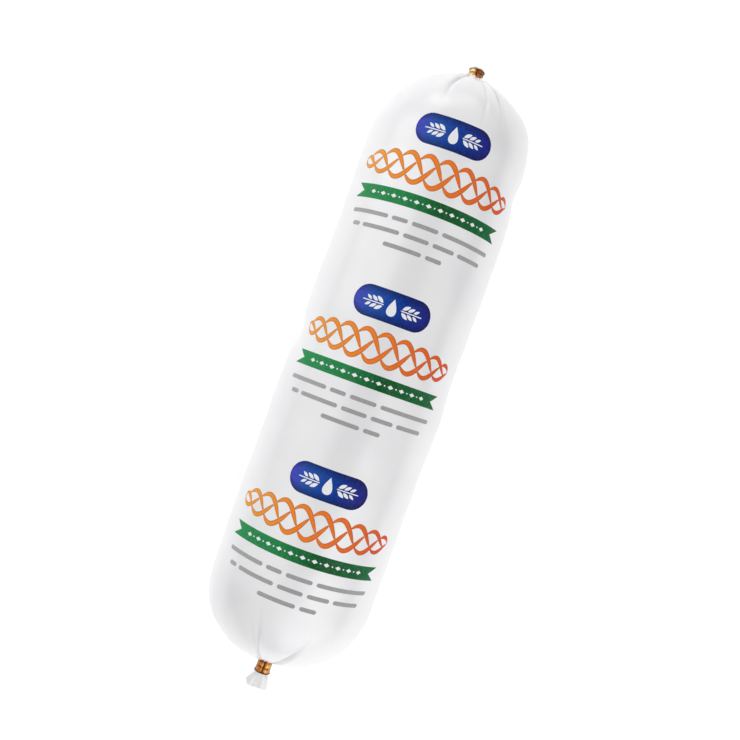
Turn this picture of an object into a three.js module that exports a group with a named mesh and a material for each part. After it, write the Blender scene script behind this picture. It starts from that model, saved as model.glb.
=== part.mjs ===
// A mozzarella log: about two kilograms of firm cheese shut in a white plastic casing, gathered
// at both ends and held there by crimped metal clips. It lies on its side with the printed
// front up: +Y runs along the log to its upper end, +Z is the front, and the origin is at the
// middle of the box's underside. All lengths are in millimetres and all angles in degrees.
//
// Every outline is worked out in the log's own frame first: `along` is the distance from the
// middle of the filled body, towards the upper end, and an azimuth is counted from the front
// towards +X.
import * as THREE from "three";
import { mergeVertices } from "three/addons/utils/BufferGeometryUtils.js";

// The filled body
const BODY_HALF_LENGTH = 168.7;
const LOWER_RADIUS = 45.3;
const UPPER_RADIUS = 44.8;
const SHOULDER_RADIUS = 44.0;
const RADIUS_STEP_AT = -2;
const RADIUS_STEP_REACH = 16;
const SHOULDER_AT = 108;
const SHOULDER_REACH = 14;
const LOWER_FULLNESS = 2.12;
const UPPER_FULLNESS = 2.02;
const REST_DEPTH = 44.2;
const BODY_RINGS = 17;
const DOME_RINGS = 13;
const AROUND = 60;

// The gathered film: the pit round each neck, the neck itself, and the pleats that run from it
const NECK_RADIUS = 3.1;
const PIT_RADIUS = 6.5;
const LOWER_PIT_DEPTH = 0.9;
const UPPER_PIT_DEPTH = 2.9;
const FACE_RADIUS = 4.9;
const PLEATS = 15;
const PLEAT_DEPTH = 0.34;
const PLEAT_SKEW = 0.7;
const PLEAT_REACH = 22;
const CREASE_RAMP = 5;

// Deeper creases: where each lies, how deep and wide it is, and how far it runs from the neck
const LOWER_CREASES = [
  { azimuth: 23, depth: 1.0, width: 7, reach: 40 },
  { azimuth: -12, depth: 0.8, width: 6, reach: 34 },
  { azimuth: -58, depth: 0.7, width: 8, reach: 28 },
  { azimuth: 96, depth: 0.9, width: 9, reach: 32 },
  { azimuth: 158, depth: 0.8, width: 8, reach: 36 },
  { azimuth: -130, depth: 0.9, width: 8, reach: 34 },
];
const UPPER_CREASES = [
  { azimuth: -17, depth: 0.9, width: 6, reach: 30 },
  { azimuth: 12, depth: 0.7, width: 6, reach: 38 },
  { azimuth: 31, depth: 0.8, width: 7, reach: 34 },
  { azimuth: -74, depth: 0.8, width: 9, reach: 30 },
  { azimuth: 110, depth: 0.9, width: 9, reach: 34 },
  { azimuth: -150, depth: 0.8, width: 8, reach: 32 },
];

// The body is uneven by hand: where it swells (rise above 0) and where it is dented (below 0)
const SWELLS = [
  { along: 8, azimuth: -90, rise: -2.3, halfLength: 9, halfAngle: 38 },
  { along: -18, azimuth: 90, rise: 0.7, halfLength: 22, halfAngle: 40 },
  { along: 72, azimuth: 90, rise: 0.5, halfLength: 36, halfAngle: 45 },
  { along: 72, azimuth: -90, rise: -0.5, halfLength: 36, halfAngle: 45 },
  { along: 112, azimuth: 90, rise: -1.4, halfLength: 15, halfAngle: 42 },
  { along: 118, azimuth: -90, rise: 0.8, halfLength: 14, halfAngle: 40 },
  { along: 149, azimuth: 90, rise: 1.7, halfLength: 9, halfAngle: 45 },
  { along: -150, azimuth: -90, rise: 1.2, halfLength: 13, halfAngle: 45 },
  { along: -62, azimuth: 148, rise: -0.7, halfLength: 26, halfAngle: 24 },
  { along: 58, azimuth: -142, rise: -0.8, halfLength: 30, halfAngle: 26 },
];

// The clips: a flat strip bent round the neck, its two ends pressed together at the front
const CLIP_LENGTH = 8.2;
const CLIP_RIM_RADIUS = 4.55;
const CLIP_WAIST_RADIUS = 4.15;
const CLIP_CHAMFER = 0.3;
const CLIP_SEAM_DEPTH = 0.6;
const CLIP_SEAM_WIDTH = 9;
const CLIP_FOLD_AT = 0.6;
const CLIP_FOLD_DEPTH = 0.2;
const CLIP_FOLD_WIDTH = 0.5;
const CLIP_OUTER_RINGS = 12;
const CLIP_AROUND = 40;
const FIT_GAP = 0.3;

// The film past the clips: a ruffled fan at the lower end, a stub at the upper one
const FAN_LENGTH = 8.7;
const FAN_HALF_WIDTH = 7.1;
const FAN_HALF_DEPTH = 2.7;
const FAN_OFFSET = -0.6;
const FAN_RUFFLES = 7;
const FAN_RUFFLE_DEPTH = 0.55;
const FAN_SLANT = 0.7;
const FAN_RECESS = 1.6;
const FAN_RINGS = 5;
const STUB_LENGTH = 1.0;
const STUB_RADIUS = 3.5;
const STUB_RECESS = 0.5;

// Finishes
const FILM_COLOUR = 0xedeeef;
const FILM_ROUGHNESS = 0.4;
const CLIP_COLOUR = 0xc98a3e;
const CLIP_ROUGHNESS = 0.35;

const DEGREE = Math.PI / 180;
const clamp01 = (t) => Math.min(Math.max(t, 0), 1);
const lerp = (a, b, t) => a + (b - a) * t;
const smooth = (t) => clamp01(t) ** 2 * (3 - 2 * clamp01(t));
const bell = (t) => Math.exp(-t * t);

/** The steps 0, 1/count, ... 1. */
function steps(count) {
  return Array.from({ length: count + 1 }, (_, i) => i / count);
}

/** The angle from `azimuth` to `phi`, in degrees from -180 to 180. */
function turnFrom(azimuth, phi) {
  return ((((phi - azimuth + 180) % 360) + 360) % 360) - 180;
}

/** The body's plain radius at a distance along it: three widths with soft steps between. */
function bodyRadius(along) {
  const upper = smooth(0.5 + (along - RADIUS_STEP_AT) / RADIUS_STEP_REACH);
  const shoulder = smooth(0.5 + (along - SHOULDER_AT) / SHOULDER_REACH);
  return lerp(lerp(LOWER_RADIUS, UPPER_RADIUS, upper), SHOULDER_RADIUS, shoulder);
}

/** What differs between the two ends of the log; `side` is -1 at the lower end. */
function endOf(side) {
  const lower = side < 0;
  return {
    side,
    radius: lower ? LOWER_RADIUS : SHOULDER_RADIUS,
    fullness: lower ? LOWER_FULLNESS : UPPER_FULLNESS,
    pitDepth: lower ? LOWER_PIT_DEPTH : UPPER_PIT_DEPTH,
    creases: lower ? LOWER_CREASES : UPPER_CREASES,
  };
}

const LOWER_END = endOf(-1);
const UPPER_END = endOf(1);

/** The level of the film where it meets the neck, as a distance from the body's middle. */
function faceLevel(end) {
  const pit = end.pitDepth * bell(FACE_RADIUS / PIT_RADIUS);
  const out = (1 - (FACE_RADIUS / end.radius) ** end.fullness) ** (1 / end.fullness);
  return BODY_HALF_LENGTH - end.radius * (1 - out) - pit;
}

/** Where the inner rim of an end's clip lies. */
function clipStart(end) {
  return faceLevel(end) + FIT_GAP;
}

/** Rings of a dome, from its face at the neck out to the widest place. */
function domeStations(end) {
  const first = Math.asin((FACE_RADIUS / end.radius) ** (end.fullness / 2));
  const power = 2 / end.fullness;
  return steps(DOME_RINGS).map((t) => {
    const angle = lerp(first, Math.PI / 2, t);
    const radius = end.radius * Math.sin(angle) ** power;
    const out = end.radius * Math.cos(angle) ** power;
    const pit = end.pitDepth * bell(radius / PIT_RADIUS);
    return {
      kind: "body",
      end,
      radius,
      along: end.side * (BODY_HALF_LENGTH - end.radius + out - pit),
      normal: [Math.sin(angle), end.side * Math.cos(angle)],
      fromNeck: end.radius * (angle - first),
    };
  });
}

/** Rings of the long middle, between the two domes. */
function middleStations() {
  const low = LOWER_END.radius - BODY_HALF_LENGTH;
  const high = BODY_HALF_LENGTH - UPPER_END.radius;
  const inner = steps(BODY_RINGS).slice(1, -1);
  return inner.map((t) => {
    const along = lerp(low, high, t);
    const end = along < 0 ? LOWER_END : UPPER_END;
    const quarter = (end.radius * Math.PI) / 2;
    const fromNeck = quarter + BODY_HALF_LENGTH - end.radius - Math.abs(along);
    return { kind: "body", end, radius: bodyRadius(along), along, normal: [1, 0], fromNeck };
  });
}

/** The two rings of the straight neck, which the clip closes on. */
function neckStations(end) {
  const start = clipStart(end) - FIT_GAP / 2;
  const stop = clipStart(end) + CLIP_LENGTH + FIT_GAP;
  return [start, stop].map((level) => ({
    kind: "neck",
    end,
    radius: NECK_RADIUS,
    along: end.side * level,
  }));
}

/** The lower tail's rings, from the clip out to the cut, and the middle of the cut. */
function fanStations(end) {
  const start = clipStart(end) + CLIP_LENGTH + FIT_GAP;
  const rings = steps(FAN_RINGS).slice(1);
  const stations = rings.map((t) => ({
    kind: "fan",
    end,
    radius: lerp(NECK_RADIUS, FAN_HALF_WIDTH, t ** 0.8),
    depth: lerp(NECK_RADIUS, FAN_HALF_DEPTH, t),
    along: end.side * (start + (FAN_LENGTH - FIT_GAP) * t),
    spread: t,
  }));
  const cut = end.side * (start + FAN_LENGTH - FIT_GAP - FAN_RECESS);
  return [...stations, { kind: "tip", end, radius: 0, along: cut }];
}

/** The upper tail's single ring, and the middle of its cut. */
function stubStations(end) {
  const stop = clipStart(end) + CLIP_LENGTH + STUB_LENGTH;
  return [
    { kind: "neck", end, radius: STUB_RADIUS, along: end.side * stop },
    { kind: "tip", end, radius: 0, along: end.side * (stop - STUB_RECESS) },
  ];
}

/** How far the pleats and creases move the film outwards, at an azimuth of a body ring. */
function gatherRelief(station, phi) {
  const { end, fromNeck } = station;
  const ramp = smooth(fromNeck / CREASE_RAMP);
  const skew = PLEAT_SKEW * Math.sin(2 * phi * DEGREE + end.side);
  const wave = Math.cos(PLEATS * phi * DEGREE + skew * PLEATS * DEGREE * 10);
  const pleat = PLEAT_DEPTH * wave * bell(fromNeck / PLEAT_REACH);
  const creases = end.creases.map(({ azimuth, depth, width, reach }) => {
    const across = bell(turnFrom(azimuth, phi) / width);
    return depth * across * bell(fromNeck / reach);
  });
  return ramp * (pleat - creases.reduce((sum, depth) => sum + depth, 0));
}

/** How far the swells and dents move the film outwards, at a place on the body. */
function swellRelief(along, phi) {
  const rises = SWELLS.map((swell) => {
    const lengthwise = bell((along - swell.along) / swell.halfLength);
    return swell.rise * lengthwise * bell(turnFrom(swell.azimuth, phi) / swell.halfAngle);
  });
  return rises.reduce((sum, rise) => sum + rise, 0);
}

/** A point of a body ring: pleated, dented, and flat where the log lies. */
function bodyPoint(station, phi) {
  const relief = gatherRelief(station, phi) + swellRelief(station.along, phi);
  const radius = station.radius + relief * station.normal[0];
  const along = station.along + relief * station.normal[1];
  const z = Math.max(radius * Math.cos(phi * DEGREE), -REST_DEPTH);
  return new THREE.Vector3(radius * Math.sin(phi * DEGREE), along, z);
}

/** A point of the lower tail: a flattened fan with ruffles that grow towards the cut. */
function fanPoint(station, phi) {
  const { spread, radius, depth, along, end } = station;
  const ruffle = FAN_RUFFLE_DEPTH * spread * Math.cos(FAN_RUFFLES * phi * DEGREE + 1);
  const x = (radius + ruffle) * Math.sin(phi * DEGREE) + FAN_OFFSET * spread;
  const z = (depth + ruffle) * Math.cos(phi * DEGREE);
  const slant = FAN_SLANT * spread * smooth(-Math.sin(phi * DEGREE));
  return new THREE.Vector3(x, along - end.side * slant, z);
}

/** A point of a plain round ring. */
function roundPoint(station, phi) {
  const { radius, along } = station;
  return new THREE.Vector3(radius * Math.sin(phi * DEGREE), along, radius * Math.cos(phi * DEGREE));
}

/** A point of the casing, by the kind of ring it is on. */
function casingPoint(station, phi) {
  const shapes = { body: bodyPoint, fan: fanPoint, neck: roundPoint, tip: roundPoint };
  return shapes[station.kind](station, phi);
}

/** A lathe through the stations, with every vertex then set by `pointAt`. */
function sculptedLathe(stations, around, pointAt) {
  const profile = stations.map(({ radius, along }) => new THREE.Vector2(radius, along));
  const geometry = new THREE.LatheGeometry(profile, around);
  const { position } = geometry.attributes;
  for (let i = 0; i < position.count; i += 1) {
    const turn = Math.floor(i / stations.length) % around;
    const point = pointAt(stations[i % stations.length], (360 * turn) / around);
    position.setXYZ(i, point.x, point.y, point.z);
  }
  geometry.deleteAttribute("uv");
  geometry.deleteAttribute("normal");
  const welded = mergeVertices(geometry);
  welded.computeVertexNormals();
  return welded;
}

/** The filled casing: both tails, both necks and the body between them, in one skin. */
function casingGeometry() {
  const lower = [...neckStations(LOWER_END), ...fanStations(LOWER_END)].reverse();
  const upper = [...neckStations(UPPER_END), ...stubStations(UPPER_END)];
  const body = [
    ...domeStations(LOWER_END),
    ...middleStations(),
    ...domeStations(UPPER_END).reverse(),
  ];
  return sculptedLathe([...lower, ...body, ...upper], AROUND, casingPoint);
}

/** The clip's outer radius: flared at both rims, with a shallow fold line across it. */
function clipOuter(t) {
  const flare = (CLIP_RIM_RADIUS - CLIP_WAIST_RADIUS) * Math.abs(2 * t - 1) ** 3;
  const fold = CLIP_FOLD_DEPTH * bell(((t - CLIP_FOLD_AT) * CLIP_LENGTH) / CLIP_FOLD_WIDTH);
  return CLIP_WAIST_RADIUS + flare - fold;
}

/** The clip's section, once round: up its outside, over the rim and down the bore. */
function clipStations() {
  const bore = NECK_RADIUS + FIT_GAP;
  const outer = steps(CLIP_OUTER_RINGS).map((t) => ({
    radius: clipOuter(t),
    along: lerp(CLIP_CHAMFER, CLIP_LENGTH - CLIP_CHAMFER, t),
    outside: true,
  }));
  const lip = CLIP_RIM_RADIUS - CLIP_CHAMFER;
  const loop = [
    { radius: lip, along: 0, outside: true },
    ...outer,
    { radius: lip, along: CLIP_LENGTH, outside: true },
    { radius: bore, along: CLIP_LENGTH, outside: false },
    { radius: bore, along: 0, outside: false },
  ];
  return [...loop, loop[0]];
}

/** A point of the clip: its outside dips where the strip's two ends meet. */
function clipPoint(station, phi) {
  const dip = station.outside ? CLIP_SEAM_DEPTH * bell(turnFrom(0, phi) / CLIP_SEAM_WIDTH) : 0;
  return roundPoint({ ...station, radius: station.radius - dip }, phi);
}

const filmMaterial = new THREE.MeshStandardMaterial({
  color: FILM_COLOUR,
  roughness: FILM_ROUGHNESS,
  metalness: 0,
});
const clipMaterial = new THREE.MeshStandardMaterial({
  color: CLIP_COLOUR,
  roughness: CLIP_ROUGHNESS,
  metalness: 1,
});

/** A named mesh. */
function piece(name, geometry, material) {
  const mesh = new THREE.Mesh(geometry, material);
  mesh.name = name;
  return mesh;
}

/** A clip on its neck. Turned half round the front's axis, the lower one points down. */
function clip(name, end) {
  const mesh = piece(name, sculptedLathe(clipStations(), CLIP_AROUND, clipPoint), clipMaterial);
  mesh.position.y = end.side * clipStart(end);
  mesh.rotation.z = end.side < 0 ? Math.PI : 0;
  return mesh;
}

const log = new THREE.Group();
log.add(piece("filled_casing", casingGeometry(), filmMaterial));
log.add(clip("clip_top", UPPER_END));
log.add(clip("clip_bottom", LOWER_END));

// The origin moves from the body's middle to the middle of the box's underside.
const box = new THREE.Box3().setFromObject(log, true);
const middle = box.getCenter(new THREE.Vector3());
log.position.set(-middle.x, -middle.y, -box.min.z);
log.updateMatrixWorld(true);

export default log;
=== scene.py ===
"""Looks of the mozzarella log: its white printed casing, its gathered tails and its metal clips.

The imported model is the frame, and every piece is built around it. Shapes are worked out in the
log's own frame, in millimetres: `along` is the distance from the middle of the filled body
towards the upper end, and an azimuth, in degrees, is counted from the printed front towards +X.
LogPlace turns that frame into the row's metres.
"""

import logging
from collections.abc import Iterable, Sequence
from dataclasses import dataclass, field
from enum import Enum
from math import ceil, cos, pi, sin

import bpy
import numpy as np
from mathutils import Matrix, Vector


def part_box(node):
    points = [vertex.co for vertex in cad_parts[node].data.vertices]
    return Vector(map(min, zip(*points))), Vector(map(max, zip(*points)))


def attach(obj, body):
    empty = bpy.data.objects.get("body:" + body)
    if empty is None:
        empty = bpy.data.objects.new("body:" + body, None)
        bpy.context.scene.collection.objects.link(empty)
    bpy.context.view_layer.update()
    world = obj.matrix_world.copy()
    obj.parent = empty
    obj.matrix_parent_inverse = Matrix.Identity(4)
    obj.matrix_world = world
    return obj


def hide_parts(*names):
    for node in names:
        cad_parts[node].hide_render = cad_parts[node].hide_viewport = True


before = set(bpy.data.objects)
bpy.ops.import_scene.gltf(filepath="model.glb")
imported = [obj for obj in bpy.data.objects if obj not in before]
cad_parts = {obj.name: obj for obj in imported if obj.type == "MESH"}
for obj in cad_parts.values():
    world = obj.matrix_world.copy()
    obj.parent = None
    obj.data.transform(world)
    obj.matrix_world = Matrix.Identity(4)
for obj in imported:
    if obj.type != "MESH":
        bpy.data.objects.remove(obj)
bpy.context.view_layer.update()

Array = np.ndarray
Colour = tuple[float, float, float]
LOG = logging.getLogger("mozzarella_log")
BODY = "root"
MM = 0.001
DEGREE = pi / 180.0
CLIP_LENGTH = 8.2


def smooth(t: Array) -> Array:
    """Step softly from 0 to 1 as t goes from 0 to 1."""
    held = np.clip(t, 0.0, 1.0)
    return held * held * (3.0 - 2.0 * held)


def bell(t: Array) -> Array:
    """Fall off from 1 at t = 0 like a bell."""
    return np.exp(-t * t)


def rise_and_fade(t: Array) -> Array:
    """Rise from 0 to 1 at t = 1 and fade slowly after it."""
    return t * np.exp(1.0 - t)


def lerp(start: Array, stop: Array, t: Array) -> Array:
    """Go from start to stop as t goes from 0 to 1."""
    return start + (stop - start) * t


def turn_from(azimuth: float, phi: Array) -> Array:
    """Measure the turn from an azimuth to phi, from -180 to 180 degrees."""
    return (phi - azimuth + 180.0) % 360.0 - 180.0


def all_round(count: int) -> Array:
    """List azimuths at even steps, once round the log."""
    return np.arange(count) * 360.0 / count


def wave(cycles: int, phi: Array, start: float = 0.0) -> Array:
    """Run a sine of whole cycles round the log; start is its phase in radians."""
    return np.sin(cycles * phi * DEGREE + start)


Wave = tuple[float, int, float, float]


def uneven(waves: Iterable[Wave], phi: Array, start: float) -> Array:
    """Add up waves round the log, for the unevenness of a thing that is gathered by hand.

    Args:
        waves: Each wave's height, its whole cycles, its own phase, and the share of start that
            is added to that phase.
        phi: Azimuths.
        start: A phase in radians, which makes one gathered thing differ from the next.

    Returns:
        The sum of the waves at each azimuth.
    """
    return sum(size * wave(cycles, phi, own + pace * start) for size, cycles, own, pace in waves)


@dataclass(frozen=True)
class Band:
    """A soft band across a measure: where its middle lies and how wide it is."""

    at: float
    width: float

    def share(self, value: Array) -> Array:
        """Give 1 in the band's middle, and fall off like a bell beside it."""
        return bell((value - self.at) / self.width)


def srgb(red: int, green: int, blue: int) -> Colour:
    """Turn a colour as a screen shows it, 0 to 255, into linear light.

    Args:
        red: Red of the colour on screen.
        green: Green of the colour on screen.
        blue: Blue of the colour on screen.

    Returns:
        The linear red, green and blue, 0 to 1.
    """
    shares = [channel / 255.0 for channel in (red, green, blue)]
    linear = [s / 12.92 if s <= 0.04045 else ((s + 0.055) / 1.055) ** 2.4 for s in shares]
    return linear[0], linear[1], linear[2]


class End(Enum):
    """The two ends of the log, by the sign of `along` there."""

    LOWER = -1
    UPPER = 1


class Ink(Enum):
    """The inks of the print, named as the record's material slots."""

    BLUE = "ink_blue"
    ORANGE = "ink_orange"
    GREEN = "ink_green"
    GREY = "ink_grey"
    WHITE = "ink_white"


# ---- The shape of the filled body ----


@dataclass(frozen=True)
class Crease:
    """A crease that runs from a neck over its dome, with a sharp pinch down its middle.

    The width, in degrees, is the unit of everything beside the crease.
    """

    azimuth: float
    depth: float
    width: float
    reach: float
    skew: float = 0.0
    ridge: float = 0.35
    ridge_place: Band = Band(1.3, 1.0 / 2.2)
    pinch_depth: float = 0.75
    pinch_width: float = 1.0 / 2.6
    wander: float = 0.25
    wander_length: float = 7.0

    def turn(self, from_neck: Array, phi: Array) -> Array:
        """Measure how far places lie beside the crease, in its own widths."""
        return turn_from(self.azimuth + self.skew * from_neck, phi) / self.width

    def left(self, from_neck: Array) -> Array:
        """Give the share of the crease that is left so far from the neck."""
        return bell((from_neck / self.reach) ** 2)

    def pinch(self, from_neck: Array, phi: Array) -> Array:
        """Work out the pinch, which winds a little down the crease's middle.

        Args:
            from_neck: Distance from the neck over the film.
            phi: Azimuth of each place.

        Returns:
            The pinch's share at each place, from 0 to 1.
        """
        wander = self.wander * np.sin(from_neck / self.wander_length + self.azimuth)
        pinch = bell((self.turn(from_neck, phi) - wander) / self.pinch_width)
        return pinch * self.left(from_neck)

    def relief(self, from_neck: Array, phi: Array) -> Array:
        """Work out how far the crease draws the film in.

        Args:
            from_neck: Distance from the neck over the film.
            phi: Azimuth of each place.

        Returns:
            The depth at each place, below 0 in the crease and a little above 0 beside it.
        """
        turn = self.turn(from_neck, phi)
        fold = (self.ridge * self.ridge_place.share(turn) - bell(turn)) * self.left(from_neck)
        return self.depth * (fold - self.pinch_depth * self.pinch(from_neck, phi))


@dataclass(frozen=True)
class Swell:
    """A place where the body swells, or is dented if rise is below 0."""

    along: float
    azimuth: float
    rise: float
    half_length: float
    half_angle: float

    def relief(self, along: Array, phi: Array) -> Array:
        """Give the swell's rise at each place."""
        lengthwise = bell((along - self.along) / self.half_length)
        return self.rise * lengthwise * bell(turn_from(self.azimuth, phi) / self.half_angle)


@dataclass(frozen=True)
class Gather:
    """A family of folds round a neck: rounded crests with sharp valleys between them."""

    folds: int
    depth: float
    peak: float
    start: float
    roundness: float = 0.8
    valley: float = 0.6
    spacing: tuple[Wave, ...] = ((2.6, 3, 0.0, 1.0), (1.7, 7, 0.0, 2.0))
    size: tuple[Wave, ...] = ((0.45, 4, 1.0, 1.0), (0.25, 9, 0.0, 1.0))
    length: tuple[Wave, ...] = ((0.3, 5, 0.6, -1.0),)

    def relief(self, from_neck: Array, phi: Array) -> Array:
        """Work out the folds, which swell out of the neck and fade over the dome.

        Args:
            from_neck: Distance from the neck over the film.
            phi: Azimuth of each place.

        Returns:
            How far the folds move the film out.
        """
        turn = self.folds * (phi + uneven(self.spacing, phi, self.start)) * DEGREE
        crest = np.abs(np.cos(turn / 2.0)) ** self.roundness
        share = 1.0 + uneven(self.size, phi, self.start)
        peak = self.peak * (1.0 + uneven(self.length, phi, self.start))
        return self.depth * share * (crest - self.valley) * rise_and_fade(from_neck / peak)


@dataclass(frozen=True)
class Undulation:
    """A slow wave of a film that was filled and handled, along the log and round it at once."""

    height: float
    length: float
    cycles: int
    start: float

    def relief(self, along: Array, phi: Array) -> Array:
        """Give the wave's height at each place."""
        turn = 2.0 * pi * along / self.length + self.cycles * phi * DEGREE
        return self.height * np.sin(turn + self.start)


@dataclass(frozen=True)
class DomeEnd:
    """One end of the body: how round it is, its pit, the collar round it and its creases."""

    end: End
    radius: float
    fullness: float
    pit_depth: float
    collar: float
    creases: tuple[Crease, ...]
    gathers: tuple[Gather, ...]


LOWER_DOME = DomeEnd(
    end=End.LOWER,
    radius=45.3,
    fullness=2.12,
    pit_depth=0.9,
    collar=0.3,
    creases=(
        Crease(7, 0.95, 3.2, 41, skew=0.34),
        Crease(-5, 0.85, 3.2, 46, skew=-0.15),
        Crease(-4, 0.4, 3.2, 42, skew=-0.28),
        Crease(-58, 0.7, 5, 34),
        Crease(96, 0.9, 5, 40, skew=-0.2),
        Crease(158, 0.8, 5, 44),
        Crease(-130, 0.9, 5, 42, skew=0.2),
    ),
    gathers=(Gather(33, 0.46, 5.0, 0.4), Gather(14, 0.2, 15.0, 2.1)),
)
UPPER_DOME = DomeEnd(
    end=End.UPPER,
    radius=44.0,
    fullness=2.02,
    pit_depth=2.9,
    collar=1.6,
    creases=(
        Crease(-18, 1.0, 3.4, 36),
        Crease(15, 0.5, 3.2, 42),
        Crease(30, 0.9, 3.4, 38),
        Crease(-74, 0.8, 5, 36),
        Crease(110, 0.9, 5, 42, skew=0.2),
        Crease(-150, 0.8, 5, 38, skew=-0.2),
    ),
    gathers=(Gather(31, 0.36, 5.5, 1.7), Gather(13, 0.2, 16.0, 0.9)),
)
SWELLS = (
    Swell(8, -90, -2.3, 9, 38),
    Swell(-18, 90, 0.7, 22, 40),
    Swell(72, 90, 0.5, 36, 45),
    Swell(72, -90, -0.5, 36, 45),
    Swell(112, 90, -1.4, 15, 42),
    Swell(118, -90, 0.8, 14, 40),
    Swell(149, 90, 1.7, 9, 45),
    Swell(-150, -90, 1.2, 13, 45),
    Swell(-166, 0, -1.2, 4, 42),
    Swell(-62, 148, -0.7, 26, 24),
    Swell(58, -142, -0.8, 30, 26),
)
UNDULATIONS = (
    Undulation(0.11, 61, 2, 0.7),
    Undulation(0.08, 37, -3, 2.1),
    Undulation(0.05, 23, 5, 4.0),
)


@dataclass(frozen=True)
class BodySurface:
    """The film round the filled body, as a surface over (along, azimuth)."""

    half_length: float = 168.7
    lower_radius: float = 45.3
    upper_radius: float = 44.8
    shoulder_radius: float = 44.0
    radius_step_at: float = -2.0
    radius_step_reach: float = 16.0
    shoulder_at: float = 108.0
    shoulder_reach: float = 14.0
    rest_depth: float = 44.2
    pit_radius: float = 6.5
    face_radius: float = 4.9
    dome_crowding: float = 1.3
    pleats: int = 15
    pleat_depth: float = 0.34
    pleat_skew: float = 7.0
    pleat_reach: float = 22.0
    crease_ramp: float = 5.0
    collar: Band = Band(4.2, 3.2)
    fit_gap: float = 0.3
    ridges: int = 11
    ridge_height: float = 0.05
    ridge_start: float = 0.4
    ridge_run: Undulation = Undulation(1.0, 143, 0, 1.0)
    handling_ramp: float = 30.0
    domes: tuple[DomeEnd, DomeEnd] = (LOWER_DOME, UPPER_DOME)
    swells: tuple[Swell, ...] = SWELLS
    undulations: tuple[Undulation, ...] = UNDULATIONS

    def dome(self, end: End) -> DomeEnd:
        """Find the dome of an end."""
        return self.domes[0] if end is End.LOWER else self.domes[1]

    def width_at(self, along: Array) -> Array:
        """Work out the plain radius between the domes: three widths with soft steps.

        Args:
            along: Distances from the body's middle.

        Returns:
            The radius at each.
        """
        upper = smooth(0.5 + (along - self.radius_step_at) / self.radius_step_reach)
        shoulder = smooth(0.5 + (along - self.shoulder_at) / self.shoulder_reach)
        lower_part = lerp(self.lower_radius, self.upper_radius, upper)
        return lerp(lower_part, self.shoulder_radius, shoulder)

    def first_angle(self, dome: DomeEnd) -> float:
        """Give the dome angle at the ring where the film meets the neck."""
        return float(np.arcsin((self.face_radius / dome.radius) ** (dome.fullness / 2.0)))

    def face_level(self, end: End) -> float:
        """Work out how far from the body's middle the film meets the neck.

        Args:
            end: The end of the log.

        Returns:
            The distance, above 0 at both ends.
        """
        dome = self.dome(end)
        pit = dome.pit_depth * float(bell(self.face_radius / self.pit_radius))
        out = (1.0 - (self.face_radius / dome.radius) ** dome.fullness) ** (1.0 / dome.fullness)
        return self.half_length - dome.radius * (1.0 - out) - pit

    def clip_start(self, end: End) -> float:
        """Give how far from the body's middle the clip's inner rim lies."""
        return self.face_level(end) + self.fit_gap

    def dome_alongs(self, end: End, count: int) -> Array:
        """List nominal places along a dome, from the neck's ring to the widest place.

        Args:
            end: The end of the log.
            count: How many places.

        Returns:
            The places, with the sign of the end.
        """
        dome = self.dome(end)
        spread = np.linspace(0.0, 1.0, count) ** self.dome_crowding
        angles = lerp(self.first_angle(dome), pi / 2.0, spread)
        out = dome.radius * np.cos(angles) ** (2.0 / dome.fullness)
        return end.value * (self.half_length - dome.radius + out)

    def dome_angle(self, dome: DomeEnd, along: Array) -> Array:
        """Give the angle round a dome, from its tip to a right angle where it is widest."""
        out = np.clip(np.abs(along) - self.half_length + dome.radius, 0.0, dome.radius)
        return np.arccos(np.clip((out / dome.radius) ** (dome.fullness / 2.0), 0.0, 1.0))

    def from_neck(self, dome: DomeEnd, along: Array) -> Array:
        """Measure the way over the film from a dome's neck.

        Args:
            dome: The dome.
            along: Nominal distances from the body's middle, of that end's sign.

        Returns:
            The distances.
        """
        over_dome = dome.radius * (self.dome_angle(dome, along) - self.first_angle(dome))
        past_dome = np.clip(self.half_length - dome.radius - np.abs(along), 0.0, None)
        return np.maximum(over_dome + past_dome, 0.0)

    def painted_crease_shade(self, along: Array, phi: Array) -> Array:
        """Give how sharply the film is pinched, from 0 to about 1, as the mask of the shade
        painted grey into the creases.

        Args:
            along: Nominal distances from the body's middle.
            phi: Azimuths.

        Returns:
            The sum of the creases' pinches at each place, the deeper the stronger.
        """
        total = 0.0 * along * phi
        for dome in self.domes:
            from_neck = self.from_neck(dome, along)
            here = np.where(along * dome.end.value > 0.0, 1.0, 0.0)
            for crease in dome.creases:
                total = total + here * crease.depth * crease.pinch(from_neck, phi)
        return total

    def handled(self, along: Array, phi: Array) -> Array:
        """Work out the slow unevenness of a soft body that was filled and handled.

        Args:
            along: Nominal distances from the body's middle.
            phi: Azimuths.

        Returns:
            How far the film is moved out.
        """
        slow = sum(undulation.relief(along, phi) for undulation in self.undulations)
        ridges = self.ridge_height * wave(self.ridges, phi, self.ridge_start)
        return slow + ridges * self.ridge_run.relief(along, phi)

    def relief(self, dome: DomeEnd, along: Array, from_neck: Array, phi: Array) -> Array:
        """Add up pleats, creases, gathers, collar, swells and the marks of handling.

        Args:
            dome: The end whose gathers reach these places.
            along: Nominal distance from the body's middle.
            from_neck: Distance from that end's neck over the film.
            phi: Azimuth of each place.

        Returns:
            How far the film stands out from its plain shape.
        """
        skew = self.pleat_skew * wave(2, phi, float(dome.end.value))
        pleat = np.cos(self.pleats * (phi + skew) * DEGREE)
        folds = self.pleat_depth * pleat * bell(from_neck / self.pleat_reach)
        folds = folds + sum(crease.relief(from_neck, phi) for crease in dome.creases)
        fine = sum(gather.relief(from_neck, phi) for gather in dome.gathers)
        fine = fine + dome.collar * self.collar.share(from_neck)
        bumps = sum(swell.relief(along, phi) for swell in self.swells)
        handled = self.handled(along, phi) * smooth(from_neck / self.handling_ramp)
        return smooth(from_neck / self.crease_ramp) * folds + fine + bumps + handled

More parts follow.
